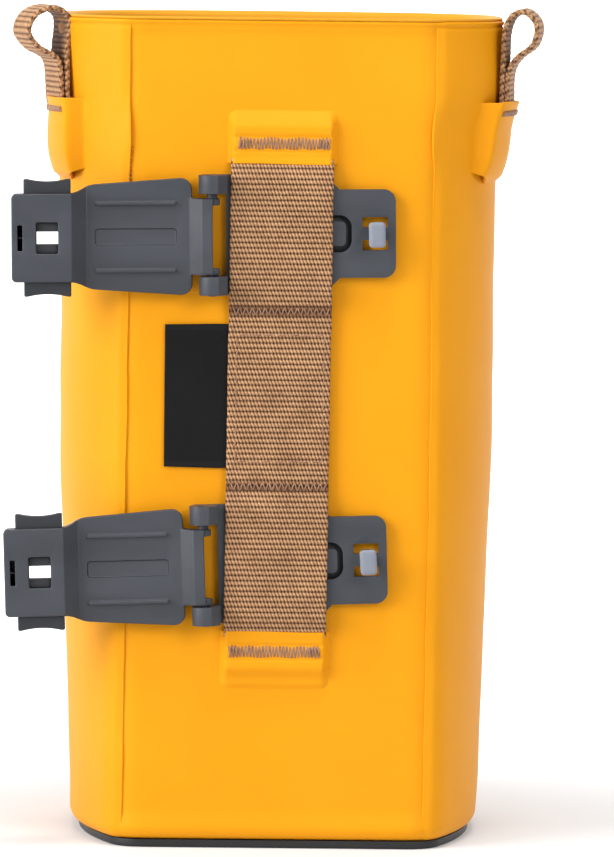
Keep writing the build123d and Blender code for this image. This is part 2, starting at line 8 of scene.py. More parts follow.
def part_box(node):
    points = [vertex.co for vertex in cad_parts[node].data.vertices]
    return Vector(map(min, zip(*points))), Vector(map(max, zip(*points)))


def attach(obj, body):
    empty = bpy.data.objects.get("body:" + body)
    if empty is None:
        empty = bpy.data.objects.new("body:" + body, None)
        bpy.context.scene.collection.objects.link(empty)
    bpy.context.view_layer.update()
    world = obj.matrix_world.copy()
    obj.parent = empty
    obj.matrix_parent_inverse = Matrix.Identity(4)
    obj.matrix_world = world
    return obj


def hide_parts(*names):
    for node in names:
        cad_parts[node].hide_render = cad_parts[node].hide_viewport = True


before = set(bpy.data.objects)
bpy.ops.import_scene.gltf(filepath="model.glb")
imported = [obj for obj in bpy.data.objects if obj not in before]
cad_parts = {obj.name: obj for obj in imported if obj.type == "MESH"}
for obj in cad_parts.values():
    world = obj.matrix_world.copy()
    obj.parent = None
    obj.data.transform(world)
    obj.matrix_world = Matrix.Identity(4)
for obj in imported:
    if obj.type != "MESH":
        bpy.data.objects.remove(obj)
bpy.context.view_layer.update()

# A bottle sling seen from its back panel. Lengths are in millimetres here and become metres when a
# mesh is made. Hard clip parts keep their CAD meshes; everything sewn or welded is rebuilt.

MM = 0.001
SOLVER_STEPS = 12  # rounds that the angle searches take to settle


def node_box(name):
    """Lowest and highest corner of a CAD node, in millimetres."""
    low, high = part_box(name)
    return Vector(low) / MM, Vector(high) / MM


def smooth(value):
    """Eases a value from 0 to 1."""
    value = min(1.0, max(0.0, value))
    return value * value * (3 - 2 * value)


def wander(x, y, z, size, seed=0.0):
    """Gentle repeatable noise between about -1 and 1, with features of a given size."""
    return noise.noise(Vector((x / size + seed, y / size - seed, z / size + 2 * seed)))


# ---------------------------------------------------------------- materials
class Shade:
    """A small node-tree builder: one Principled shader, with nodes added by name."""

    def __init__(self, name, roughness=0.6, specular=0.4):
        self.material = bpy.data.materials.new(name)
        self.material.use_nodes = True
        self.tree = self.material.node_tree
        self.shader = self.tree.nodes["Principled BSDF"]
        self.shader.inputs["Roughness"].default_value = roughness
        self.shader.inputs["Specular IOR Level"].default_value = specular
        self.place = self.add("ShaderNodeTexCoord").outputs["Object"]

    def add(self, kind, **values):
        """Adds a node and sets its properties, or its inputs where it has no such property."""
        node = self.tree.nodes.new(kind)
        for key, value in values.items():
            if hasattr(node, key):
                setattr(node, key, value)
            else:
                node.inputs[key.replace("_", " ")].default_value = value
        return node

    def link(self, source, target):
        self.tree.links.new(source, target)

    def noise(self, scale, detail=3.0, stretch=(1, 1, 1)):
        """Noise of a given scale in object space, stretched along chosen axes."""
        mapping = self.add("ShaderNodeMapping")
        mapping.inputs["Scale"].default_value = stretch
        self.link(self.place, mapping.inputs["Vector"])
        node = self.add("ShaderNodeTexNoise", Scale=scale, Detail=detail)
        self.link(mapping.outputs["Vector"], node.inputs["Vector"])
        return node.outputs["Fac"]

    def ramp(self, factor, stops):
        """A colour ramp; stops are (position, colour) pairs."""
        node = self.add("ShaderNodeValToRGB")
        elements = node.color_ramp.elements
        while len(elements) < len(stops):
            elements.new(0.5)
        for element, (position, colour) in zip(elements, stops):
            element.position = position
            element.color = (*colour, 1)
        self.link(factor, node.inputs["Fac"])
        return node.outputs["Color"]

    def mix(self, factor, first, second, blend="MIX"):
        """Mixes two colours; factor, first and second are sockets or plain values."""
        node = self.add("ShaderNodeMix", data_type="RGBA", blend_type=blend)
        sockets = (node.inputs[0], node.inputs[6], node.inputs[7])
        for socket, value in zip(sockets, (factor, first, second)):
            if hasattr(value, "is_output"):
                self.link(value, socket)
            elif isinstance(value, tuple):
                socket.default_value = (*value, 1)
            else:
                socket.default_value = value
        return node.outputs[2]

    def colour(self, socket):
        self.link(socket, self.shader.inputs["Base Color"])

    def roughness(self, factor, low, high):
        """Roughness that runs between two values with a factor."""
        node = self.add("ShaderNodeMapRange", To_Min=low, To_Max=high)
        self.link(factor, node.inputs["Value"])
        self.link(node.outputs["Result"], self.shader.inputs["Roughness"])

    def bump(self, height, strength, distance):
        """Adds one more bump, in millimetres, on top of any that is already there."""
        node = self.add("ShaderNodeBump", Strength=strength, Distance=distance * MM)
        self.link(height, node.inputs["Height"])
        earlier = self.shader.inputs["Normal"].links
        if earlier:
            self.link(earlier[0].from_socket, node.inputs["Normal"])
        self.link(node.outputs["Normal"], self.shader.inputs["Normal"])


def srgb(red, green, blue):
    """An 8-bit screen colour as linear values."""
    def linear(part):
        part /= 255
        return part / 12.92 if part <= 0.04045 else ((part + 0.055) / 1.055) ** 2.4
    return tuple(linear(part) for part in (red, green, blue))


def coated_fabric(name, main, deep):
    """Coated fabric: even colour, faint blotches, and a fine weave showing through the coat."""
    shade = Shade(name, roughness=0.55, specular=0.2)
    shade.shader.inputs["Specular Tint"].default_value = (1.0, 0.9, 0.6, 1)
    blotch = shade.noise(28, 4)
    shade.colour(shade.ramp(blotch, [(0.3, deep), (0.72, main)]))
    fine = shade.noise(2600, 2)
    shade.roughness(fine, 0.48, 0.64)
    threads = shade.add("ShaderNodeTexWave", wave_type="BANDS", bands_direction="Z", Scale=520,
                        Distortion=0.6)
    shade.link(shade.place, threads.inputs["Vector"])
    shade.bump(threads.outputs["Fac"], 0.12, 0.05)
    shade.bump(fine, 0.25, 0.05)
    shade.bump(blotch, 0.3, 0.3)
    shade.shader.inputs["Subsurface Weight"].default_value = 0.04
    shade.shader.inputs["Subsurface Radius"].default_value = (0.004, 0.002, 0.0006)
    return shade.material


def webbing_yarn(name, light, middle, dark, specular=0.3):
    """Nylon webbing yarn: thread lines, with painted shade in the gaps where the mesh is deepest and
    painted highlight on the yarn tops.
    """
    shade = Shade(name, roughness=0.5, specular=specular)
    patch = shade.noise(90, 3)
    depth = shade.add("ShaderNodeAttribute", attribute_name="height")
    # Colour follows the height attribute: on woven faces that gives painted shade in the gaps and
    # painted highlight on the yarn tops.
    base = shade.ramp(depth.outputs["Fac"], [(0.05, dark), (0.45, middle), (0.95, light)])
    tint = shade.ramp(patch, [(0.3, (0.9, 0.89, 0.88)), (0.7, (1.0, 1.0, 1.0))])
    shade.colour(shade.mix(1.0, base, tint, "MULTIPLY"))
    thread = shade.noise(5200, 2, (1.0, 1.0, 0.35))
    shade.bump(thread, 0.5, 0.05)
    shade.roughness(patch, 0.42, 0.58)
    shade.shader.inputs["Sheen Weight"].default_value = 0.2 * specular
    return shade.material


def moulded_plastic(name, main, light):
    """Moulded nylon: fine spark texture, faint flow marks and scuffs that catch light."""
    shade = Shade(name, roughness=0.45, specular=0.4)
    flow = shade.noise(60, 4, (0.4, 1, 1.6))
    scuff = shade.noise(420, 5, (1, 1, 3))
    base = shade.ramp(flow, [(0.35, main), (0.7, light)])
    scuffed = shade.ramp(scuff, [(0.66, (0, 0, 0)), (0.8, (0.3, 0.3, 0.3))])
    shade.colour(shade.mix(scuffed, base, light))
    grain = shade.noise(3800, 2)
    shade.bump(grain, 0.3, 0.03)
    shade.bump(flow, 0.15, 0.15)
    shade.roughness(scuff, 0.38, 0.6)
    return shade.material


YELLOW = coated_fabric("coated_fabric_yellow", (0.80, 0.32, 0.006), (0.76, 0.295, 0.004))
LINING = coated_fabric("lining_yellow", (0.72, 0.33, 0.02), (0.66, 0.29, 0.015))
WEBBING = webbing_yarn("webbing_brown", srgb(200, 156, 115), srgb(120, 83, 55), srgb(38, 21, 10), 0.14)
THREAD = webbing_yarn("thread_brown", srgb(196, 158, 130), srgb(140, 100, 76), srgb(70, 44, 30))
YELLOW_THREAD = webbing_yarn("thread_yellow", srgb(226, 150, 30), srgb(196, 124, 18), srgb(120, 70, 8))
PLASTIC = moulded_plastic("moulded_grey", srgb(54, 57, 63), srgb(64, 67, 73))
BUTTON = moulded_plastic("moulded_grey_dark", srgb(36, 38, 42), srgb(43, 45, 49))
# Near-black for the base sole, made this dark so that it also stands in for the contact shadow under the
# foot (partly painted shadow), and for the painted shade under the tongues' slots.
SOLE_DARK_AND_PAINTED_SHADE = moulded_plastic("sole_dark_and_painted_shade", srgb(30, 31, 33), srgb(38, 39, 41))
# A lighter grey for the stud crowns: painted highlight standing in for light on their curved faces.
STUD_PAINTED_HIGHLIGHT = moulded_plastic("moulded_grey_painted_highlight", srgb(116, 121, 132), srgb(136, 141, 152))
LABEL = webbing_yarn("label_black", srgb(40, 40, 41), srgb(30, 30, 31), srgb(9, 9, 10), 0.06)
STEEL = moulded_plastic("spring_wire_black", srgb(22, 22, 23), srgb(30, 30, 31))
STEEL.node_tree.nodes["Principled BSDF"].inputs["Metallic"].default_value = 0.6


# ---------------------------------------------------------------- mesh helpers
def make_piece(name, points, faces, material, replaced=(), body="bag", heights=None):
    """Makes one piece from points in millimetres, with an optional weave height for each point."""
    mesh = bpy.data.meshes.new(name)
    mesh.from_pydata([tuple(axis * MM for axis in point) for point in points], [], faces)
    mesh.update()
    if heights:
        layer = mesh.attributes.new("height", "FLOAT", "POINT")
        layer.data.foreach_set("value", heights)
    mesh.polygons.foreach_set("use_smooth", [True] * len(mesh.polygons))
    mesh.materials.append(material)
    piece = bpy.data.objects.new(name, mesh)
    bpy.context.scene.collection.objects.link(piece)
    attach(piece, body)
    if replaced:
        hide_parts(*replaced)
    return piece


def grid_faces(rows, columns, closed=False, start=0):
    """Quads over a grid of points stored row by row; closed joins its last column to its first."""
    faces = []
    for row in range(rows - 1):
        for column in range(columns if closed else columns - 1):
            beside = (column + 1) % columns
            low = start + row * columns
            high = low + columns
            faces.append((low + column, low + beside, high + beside, high + column))
    return faces


def thicken(piece, thickness):
    """Gives a sheet its thickness, in millimetres, on its inner side."""
    solid = piece.modifiers.new("thickness", "SOLIDIFY")
    solid.thickness = thickness * MM
    solid.offset = -1.0
    solid.use_even_offset = False
    return piece


# ---------------------------------------------------------------- the pouch's surface, from the CAD
def tree_of(*names):
    """A search tree over the rest meshes of some CAD nodes, in metres."""
    points = []
    faces = []
    for name in names:
        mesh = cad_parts[name].data
        base = len(points)
        points += [vertex.co.copy() for vertex in mesh.vertices]
        faces += [[base + index for index in polygon.vertices] for polygon in mesh.polygons]
    return BVHTree.FromPolygons(points, faces)


WRAP_LOW, WRAP_HIGH = node_box("side_wrap")
PANEL_LOW, _ = node_box("back_panel")
RIM_Z = WRAP_HIGH.z
FOOT_Z = WRAP_LOW.z
BACK_Y = WRAP_LOW.y
LAP = PANEL_LOW.y - BACK_Y  # the back panel lies this far under the wrap
SHEET = 1.0
LINING_IN = 2.9  # inner face of the lining, from the outside of the wrap
CENTRE_Y = -3.0
RAY = 0.2  # length of the search rays, in metres
CLEARLY = 0.2  # the back panel counts only where it stands this far outside the wrap
EDGE_CLEAR = 0.15  # rays stay this far inside the wrap's upper and lower edges
WRAP_TREE = tree_of("side_wrap")
PANEL_TREE = tree_of("back_panel")


def surface(angle, z):
    """A point on the CAD pouch's outside, at an angle round its middle."""
    outward = Vector((cos(angle), sin(angle), 0))
    z_seen = min(max(z, FOOT_Z + EDGE_CLEAR), RIM_Z - EDGE_CLEAR)
    start = Vector((0, CENTRE_Y, z_seen)) * MM + outward * RAY
    best = None
    best_reach = 0.0
    for tree, add in ((WRAP_TREE, 0.0), (PANEL_TREE, LAP)):
        hit, normal, _, _ = tree.ray_cast(start, -outward, RAY)
        if hit is None:
            continue
        point = hit / MM
        flat = Vector((normal.x, normal.y, 0)).normalized()
        if flat.dot(outward) < 0:
            flat = -flat
        point = point + flat * add
        reach = (point.xy - Vector((0, CENTRE_Y))).length
        if best is None or reach > best_reach + CLEARLY:
            best = point
            best_reach = reach
    return Vector((best.x, best.y, z))


ANGLES = 720
LEVEL_STEP = 4.0
FIRST_LEVEL = FOOT_Z + 3.4
SMOOTHINGS = 6
LEVELS = int((RIM_Z - FOOT_Z) / LEVEL_STEP) + 2


def sample_levels():
    """Reach from the middle for every angle at evenly spaced levels, smoothed round the pouch."""
    levels = []
    for level in range(LEVELS):
        z = min(FIRST_LEVEL + level * LEVEL_STEP, RIM_Z)
        ring = []
        for step in range(ANGLES):
            point = surface(2 * pi * step / ANGLES, z)
            ring.append((point.xy - Vector((0, CENTRE_Y))).length)
        for _ in range(SMOOTHINGS):
            ring = [(ring[i - 1] + 2 * ring[i] + ring[(i + 1) % ANGLES]) / 4 for i in range(ANGLES)]
        levels.append(ring)
    return levels


REACH = sample_levels()


def reach_at(angle, z):
    """Reach of the pouch's outside from its middle, between the sampled levels."""
    place = (z - FIRST_LEVEL) / LEVEL_STEP
    low = int(min(max(place, 0), LEVELS - 2))
    between = min(max(place - low, 0.0), 1.0)
    turn = (angle / (2 * pi) % 1.0) * ANGLES
    first = int(turn) % ANGLES
    part = turn - int(turn)
    second = (first + 1) % ANGLES
    lower = REACH[low][first] * (1 - part) + REACH[low][second] * part
    upper = REACH[low + 1][first] * (1 - part) + REACH[low + 1][second] * part
    return lower * (1 - between) + upper * between


HALF_WIDTH = 50
# how far each side of the fabric leans to +X of its even shape, at some heights
LEAN_RIGHT = ((0, 0.0), (98, 0.0), (120, -0.6), (145, -1.2), (165, -1.5), (178, -1.1), (188, 0.3),
              (206, -0.9))
LEAN_LEFT = ((0, -0.4), (75, -0.5), (95, -1.0), (112, -0.8), (137, 0.0), (172, 0.2), (186, 0.8),
             (206, 0.1))


def lean(table, z):
    """A value from one of the tables, eased between its heights."""
    for (low, first), (high, second) in zip(table, table[1:]):
        if z <= high:
            return first + (second - first) * smooth((z - low) / (high - low))
    return table[-1][1]


def bare(angle, z):
    """A point on the outside before any dents."""
    reach = reach_at(angle, z)
    x = reach * cos(angle)
    x += lean(LEAN_RIGHT if x > 0 else LEAN_LEFT, z) * smooth(abs(x) / HALF_WIDTH)
    return Vector((x, CENTRE_Y + reach * sin(angle), z))


def outward_at(angle, z):
    """Outward direction of the wall, level with the ground."""
    step = 0.01
    along = bare(angle + step, z) - bare(angle - step, z)
    return Vector((along.y, -along.x, 0)).normalized()


def dent(point, amount=1.0):
    """How far the fabric stands off its even surface."""
    calm = smooth((RIM_Z - point.z) / 25) * smooth((point.z - FOOT_Z) / 12)
    wide = 0.55 * wander(point.x, point.y, point.z, 62, 3.1)
    small = 0.24 * wander(point.x, point.y, point.z, 21, 7.7)
    return amount * (calm * wide + (0.3 + 0.7 * calm) * small)


def angle_of(x, z):
    """The angle at which the back of the pouch has a given x."""
    guess = atan2(BACK_Y - CENTRE_Y, x)
    for _ in range(SOLVER_STEPS):
        point = bare(guess, z)
        guess += (x - point.x) / max(20.0, abs(point.y - CENTRE_Y))
    return guess


FOOT_ROUND = 3.2


def wall_point(angle, z, inset=0.0, amount=1.0):
    """A point on the finished fabric, with its dents and the bend at the foot."""
    point = bare(angle, z)
    outward = outward_at(angle, z)
    rise = z - FOOT_Z
    tuck = 0.0
    if rise < FOOT_ROUND:
        tuck = FOOT_ROUND - (FOOT_ROUND ** 2 - (FOOT_ROUND - rise) ** 2) ** 0.5
    return point + outward * (dent(point, amount) - tuck - inset)


def spread(low, high, count):
    """Evenly spaced values from low to high."""
    return [low + (high - low) * step / (count - 1) for step in range(count)]


# ---------------------------------------------------------------- pouch pieces
SEAM_LOOSE_Z = 178  # the wrap's edges are loosest at this height
SEAM_LOOSE_REACH = 11
SEAM_GIVE = {1: 1.1, -1: 0.6}  # how far each edge draws in where it is loose


def seam_loose(z):
    """1 where the wrap's cut edges are loosest, falling to 0 above and below."""
    return (cos(min(pi, abs(z - SEAM_LOOSE_Z) / SEAM_LOOSE_REACH * pi)) + 1) / 2


def seam_x(side, z):
    """x of the wrap's cut edge on the back, a little wavy and drawn in where it is loose."""
    share = (z - FOOT_Z) / (RIM_Z - FOOT_Z)
    line = 37.2 + 1.4 * share if side > 0 else 38.2 - 0.7 * share
    line += 0.28 * wander(side * 9, 0, z, 17, 1.3) + 0.1 * wander(side, 3, z, 5, 2.2)
    return side * (line - SEAM_GIVE[side] * seam_loose(z))


def seam_lift(z):
    """How far the wrap's cut edges stand up from their weld."""
    return 0.75 * seam_loose(z) + 0.12 * wander(0, 0, z, 8, 2.5)


# steps up the fabric's hem, from the rim: rise and how far it stands out
HEM = ((-1.9, 0.0), (-1.5, -0.28), (-1.15, -0.3), (-0.85, 0.02), (-0.4, 0.08), (-0.1, -0.1),
       (0.0, -0.42))
FOOT_ROWS = [FOOT_Z + rise for rise in (0.0, 0.12, 0.35, 0.7, 1.2, 1.9, 2.7, 3.6)]
WALL_ROWS = FOOT_ROWS + spread(FOOT_Z + 5, RIM_Z - 2.6, 150)
SHEET_ROWS = [(z, 0.0) for z in WALL_ROWS] + [(RIM_Z + up, out) for up, out in HEM]
GIRTH = 285.0  # the wrap's length round the pouch, nearly
FLANGE_INSET = 7.0  # the wrap is turned in this far under the foot
PRESSED = 0.55  # depth to which the wrap's edges are pressed into their weld
WELD = 2.6  # the weld's width


def build_wrap():
    """Front and sides in one sheet; its edges lap over the back panel."""
    edge = [step / GIRTH for step in (0.0, 0.15, 0.35, 0.6, 0.9, 1.3, 1.8, 2.4, 3.2, 4.2)]
    first = 5.2 / GIRTH
    shares = edge + spread(first, 1 - first, 270) + [1 - share for share in reversed(edge)]
    points = []
    for z, out in [(FOOT_Z, -FLANGE_INSET)] + SHEET_ROWS:
        right = angle_of(seam_x(1, z), z)
        left = angle_of(seam_x(-1, z), z)
        span = (left - right) % (2 * pi)
        loose = seam_lift(z)
        for share in shares:
            beside = min(share, 1 - share) * GIRTH
            pressed = (PRESSED - loose) * (1 - smooth(beside / WELD))
            points.append(wall_point(right + span * share, z, pressed - out))
    piece = make_piece("pouch_wrap", points, grid_faces(len(SHEET_ROWS) + 1, len(shares)), YELLOW,
                       ("side_wrap",))
    return thicken(piece, SHEET)


PANEL_HALF = 42.5  # half width of the back panel
PANEL_CALM = 0.35  # share of the wall's dents that the flat panel takes


def build_back():
    """The flat back panel, under the wrap's edges and welded to them at rim and foot."""
    columns = 90
    points = []
    for z, out in SHEET_ROWS:
        first = angle_of(-PANEL_HALF, z)
        last = angle_of(PANEL_HALF, z)
        for column in range(columns):
            angle = first + ((last - first) % (2 * pi)) * column / (columns - 1)
            closed = smooth((z - RIM_Z + 3.0) / 2.0) + smooth((FOOT_Z + 7.0 - z) / 4.0)
            depth = LAP * (1 - 0.55 * min(1.0, closed))
            points.append(wall_point(angle, z, -out + depth, PANEL_CALM))
    piece = make_piece("pouch_back", points, grid_faces(len(SHEET_ROWS), columns), YELLOW,
                       ("back_panel",))
    return thicken(piece, SHEET)


def build_lining():
    """Inner skin, from the rolled rim down the walls and across the padded floor."""
    columns = 240
    rings = 9
    floor_z = node_box("inner_liner")[0].z + 0.8
    rolled = [(0.0, 0.42), (0.12, 0.9), (0.1, 1.7), (-0.1, 2.5), (-0.6, LINING_IN + 0.05),
              (-1.6, LINING_IN)]
    rows = [(RIM_Z + up, inset) for up, inset in rolled]
    rows += [(z, LINING_IN) for z in spread(RIM_Z - 4, floor_z + 4, 60)]
    rows += [(floor_z + 1.2, LINING_IN + 0.9), (floor_z + 0.2, LINING_IN + 2.6)]
    points = []
    for z, inset in rows:
        for column in range(columns):
            angle = 2 * pi * column / columns
            points.append(wall_point(angle, z, inset, 0.6))
    faces = grid_faces(len(rows), columns, closed=True)
    last = (len(rows) - 1) * columns
    for ring in range(1, rings):
        scale = 1 - ring / rings
        for column in range(columns):
            edge = points[last + column]
            x = edge.x * scale
            y = CENTRE_Y + (edge.y - CENTRE_Y) * scale
            points.append(Vector((x, y, floor_z + 0.35 * wander(x, y, 0, 24, 5.0))))
    faces += grid_faces(rings, columns, closed=True, start=last)
    middle = len(points)
    points.append(Vector((0, CENTRE_Y, floor_z)))
    start = last + (rings - 1) * columns
    faces += [(start + c, start + (c + 1) % columns, middle) for c in range(columns)]
    faces = [tuple(reversed(face)) for face in faces]
    piece = make_piece("pouch_lining", points, faces, LINING,
                       ("inner_liner", "wall_stiffener", "base_panel", "base_pad"))
    return thicken(piece, 0.6)


build_wrap()
build_back()
build_lining()


# ---------------------------------------------------------------- webbing
WEFT = 1.31  # from one row of yarns to the next
BEAD = 0.85  # from one yarn to the next along a row
BEAD_REACH = 0.6  # half a bead's length, as a share of the step to the next
BEAD_LEAN = 0.26
RELIEF = 0.5


def weave(across, along):
    """Height of the woven face, from 0 in the gaps to 1 on a yarn: leaning, staggered beads."""
    best = 0.0
    nearest = floor(along / WEFT + 0.5)
    for row in (nearest - 1, nearest, nearest + 1):
        off_row = (along - row * WEFT) / (BEAD_REACH * WEFT)
        step = (across + BEAD_LEAN * off_row * WEFT) / BEAD + (0.5 if row % 2 else 0.0)
        off_bead = (step - floor(step + 0.5)) / BEAD_REACH
        best = max(best, 1 - off_row ** 2 - off_bead ** 2)
    fray = 0.22 * wander(across, along, 0, 0.7, 4.0) + 0.14 * wander(across, along, 0, 5.0, 9.0)
    return min(1.0, best ** 0.8 * (1 + fray))


EDGE_ROUND = 0.75  # width of a strap's rounded edge


def strap(name, stations, width, thickness, columns, replaced, plain_back=False, flat=None,
          relief=RELIEF):
    """A woven strap along stations of (middle, across, face normal, length along it)."""
    half = width / 2
    points = []
    heights = []
    back_columns = 3 if plain_back else columns
    for middle, across, normal, along in stations:
        for side, count in ((1, columns), (-1, back_columns)):
            for column in range(count):
                share = column / (count - 1)
                offset = side * (-half + width * share)
                edge = half - abs(offset)
                round_off = min(1.0, edge / EDGE_ROUND)
                body_half = thickness / 2 * (0.35 + 0.65 * (1 - (1 - round_off) ** 2) ** 0.5)
                height = 0.5
                if not (plain_back and side < 0):
                    height = weave(offset, along + (0.4 if side < 0 else 0))
                    if flat:
                        height *= 1 - 0.45 * flat(offset, along)
                standing = relief * (height - 0.55) * (0.2 + 0.8 * round_off)
                wobble = 0.1 * wander(side, along, 0, 3.0, 6.0) * (1 - round_off)
                place = middle + across * (offset + wobble) + normal * side * (body_half + standing)
                points.append(place)
                # The weave height also picks the yarn colour: painted shade in the gaps and where tacks
                # press the weave flat, painted highlight on the yarn tops.
                heights.append(height)
    ring = columns + back_columns
    faces = grid_faces(len(stations), ring, closed=True)
    last = (len(stations) - 1) * ring
    faces.append(tuple(range(ring)))
    faces.append(tuple(reversed(range(last, last + ring))))
    faces = [tuple(reversed(face)) for face in faces]
    return make_piece(name, points, faces, WEBBING, replaced, "bag", heights)


STRIP_LOW, STRIP_HIGH = node_box("webbing_strip")
STRIP_TREE = tree_of("webbing_strip")
STRIP_THICK = 1.6
STRIP_STEP = 0.245
STRIP_LEAN = 0.0058  # the strip's top stands a little to the right
STRIP_PIVOT = 113


def strip_shift(z):
    """How far the strip and its patches stand to the right at a height."""
    return STRIP_LEAN * (z - STRIP_PIVOT)


def strip_front(z):
    """The y of the webbing strip's front face at one height."""
    hit, _, _, _ = STRIP_TREE.ray_cast(Vector((0, -0.1, z * MM)), Vector((0, 1, 0)))
    return hit.y / MM if hit else PANEL_LOW.y - STRIP_THICK


def eased_strip_front(z):
    """The same, with the corners of the CAD's straight runs eased into bends."""
    shifts = (-2.4, -1.6, -0.8, 0, 0.8, 1.6, 2.4)
    return sum(strip_front(z + shift) for shift in shifts) / len(shifts)


SEWN = (89.5, 135.6)  # foot and top of the part of the strip sewn flat to the panel


def sewn_flat(offset, along):
    """1 where tack rows press the weave flat."""
    tack = 1.2
    reach = 1.8
    rows = max(1 - abs(along - SEWN[0] - tack) / reach, 1 - abs(along - SEWN[1] + tack) / reach, 0)
    return min(1.0, rows * 1.5)


def build_strip():
    stations = []
    z = STRIP_LOW.z
    while z < STRIP_HIGH.z:
        front = eased_strip_front(z)
        sag = 0.12 * wander(0, 0, z, 14, 2.0) + strip_shift(z)
        middle = Vector((sag, front + STRIP_THICK / 2, z))
        stations.append((middle, Vector((1, 0, 0)), Vector((0, -1, 0)), z))
        z += STRIP_STEP
    return strap("webbing_strip_woven", stations, STRIP_HIGH.x - STRIP_LOW.x, STRIP_THICK, 141,
                 ("webbing_strip",), plain_back=True, flat=sewn_flat)


build_strip()

# ---------------------------------------------------------------- patches, label and stitches
PATCH_SHEET = 0.85
TAIL = 10.2  # webbing hidden under an anchor patch
ANCHOR_CORNER = 2.5  # corner radius
ANCHOR_SWELL = 1.72  # how much higher the patch stands over the webbing
STITCH_ROWS = (3.4, 6.7)  # the zigzag's two edges, from an anchor patch's mouth


def panel_point(x, z):
    """A point on the outer face of the back panel."""
    return wall_point(angle_of(x, z), z, LAP, PANEL_CALM)


def anchor_height(x, from_mouth, half, long):
    """How far an anchor patch stands off the panel: a welded edge, then a swell over the webbing."""
    side = half - abs(x)
    closed_end = long - from_mouth
    edge = min(side, closed_end)
    if side < ANCHOR_CORNER and closed_end < ANCHOR_CORNER:
        from_centre = ((ANCHOR_CORNER - side) ** 2 + (ANCHOR_CORNER - closed_end) ** 2) ** 0.5
        edge = ANCHOR_CORNER - from_centre
    lip = -0.25 + (PATCH_SHEET + 0.25) * smooth((edge + 0.5) / 2.6)
    over = smooth(edge / 2.0) * smooth((TAIL + 2.2 - from_mouth) / 3.6)
    mouth = 0.3 * (1 - smooth(from_mouth / 2.2)) * smooth(side / 2.5)
    rows = max(exp(-((from_mouth - row) / 0.5) ** 2) for row in STITCH_ROWS)
    sewn = 0.34 * rows * smooth((12.4 - abs(x)) / 0.8)
    return lip + ANCHOR_SWELL * over + mouth - sewn


def build_anchor(name, node):
    """A patch welded over one end of the strip, open towards the strip's middle."""
    low, high = node_box(node)
    half = (high.x - low.x) / 2
    long = high.z - low.z
    upper = low.z > 100
    columns = 96
    rows = 54
    points = []
    for row in range(rows):
        from_mouth = long * row / (rows - 1)
        z = low.z + from_mouth if upper else high.z - from_mouth
        for column in range(columns):
            x = -half + 2 * half * column / (columns - 1)
            height = anchor_height(x, from_mouth, half, long)
            height += 0.08 * wander(x, z, 0, 6, 8.0) * smooth((half - abs(x)) / 3)
            bow = 0.35 * (1 - smooth(from_mouth / 4)) * wander(x, 0, 0, 16, 2.0)
            points.append(panel_point(x + strip_shift(z), z) + Vector((0, -height, bow)))
    faces = grid_faces(rows, columns)
    if not upper:
        faces = [tuple(reversed(face)) for face in faces]
    return thicken(make_piece(name, points, faces, YELLOW, (node,)), PATCH_SHEET)


def angle_at(y, z, side):
    """The angle at which one side of the pouch has a given y."""
    guess = atan2(y - CENTRE_Y, side * HALF_WIDTH)
    for _ in range(SOLVER_STEPS):
        point = bare(guess, z)
        guess += side * (y - point.y) / max(25.0, abs(point.x))
    return guess


SIDE_REACH = 18.0
SIDE_SWELL = 3.3
SIDE_SKEW = 0.3 / 9.0  # the swell is higher towards the back, where the wall curves away
SIDE_Y = sum(corner.y for corner in node_box("carry_loop_right")) / 2


def side_height(along, z, foot, top):
    """How far a side patch stands off the wall: a flush welded sheet, and a swell over the tails."""
    corner_z = foot + SIDE_REACH
    edge = SIDE_REACH - abs(along)
    if z < corner_z:
        edge = SIDE_REACH - (along ** 2 + (corner_z - z) ** 2) ** 0.5
    rise = min(1.0, max(0.0, (z - foot) / 8.5))
    swell = (1 - (1 - rise) ** 2) ** 0.5 * smooth((11.4 - abs(along)) / 2.2) * smooth(rise / 0.3)
    swell *= 1 - SIDE_SKEW * along
    mouth = 0.35 * (1 - smooth((top - z) / 3)) * smooth((10.5 - abs(along)) / 3)
    return -0.3 + 0.7 * smooth(edge / 12.0) + SIDE_SWELL * swell + mouth


def build_side_patch(name, side, node):
    """Patch over the two tails of a carry loop, with a rounded foot and its mouth at the top."""
    low, high = node_box(node)
    columns = 110
    rows = 64
    points = []
    for row in range(rows):
        for column in range(columns):
            along = -SIDE_REACH + 2 * SIDE_REACH * column / (columns - 1)
            foot = low.z + SIDE_REACH - (SIDE_REACH ** 2 - along ** 2) ** 0.5
            top = high.z + 0.25 * wander(along, side * 7, 0, 11, 3.0)
            z = foot + (top - foot) * row / (rows - 1)
            height = side_height(along, z, low.z, top)
            height += 0.12 * wander(along, z, side * 5, 7, 1.0) * smooth((9 - abs(along)) / 4)
            points.append(wall_point(angle_at(SIDE_Y + along, z, side), z, -height))
    faces = grid_faces(rows, columns)
    if side < 0:
        faces = [tuple(reversed(face)) for face in faces]
    return thicken(make_piece(name, points, faces, YELLOW, (node,)), PATCH_SHEET)


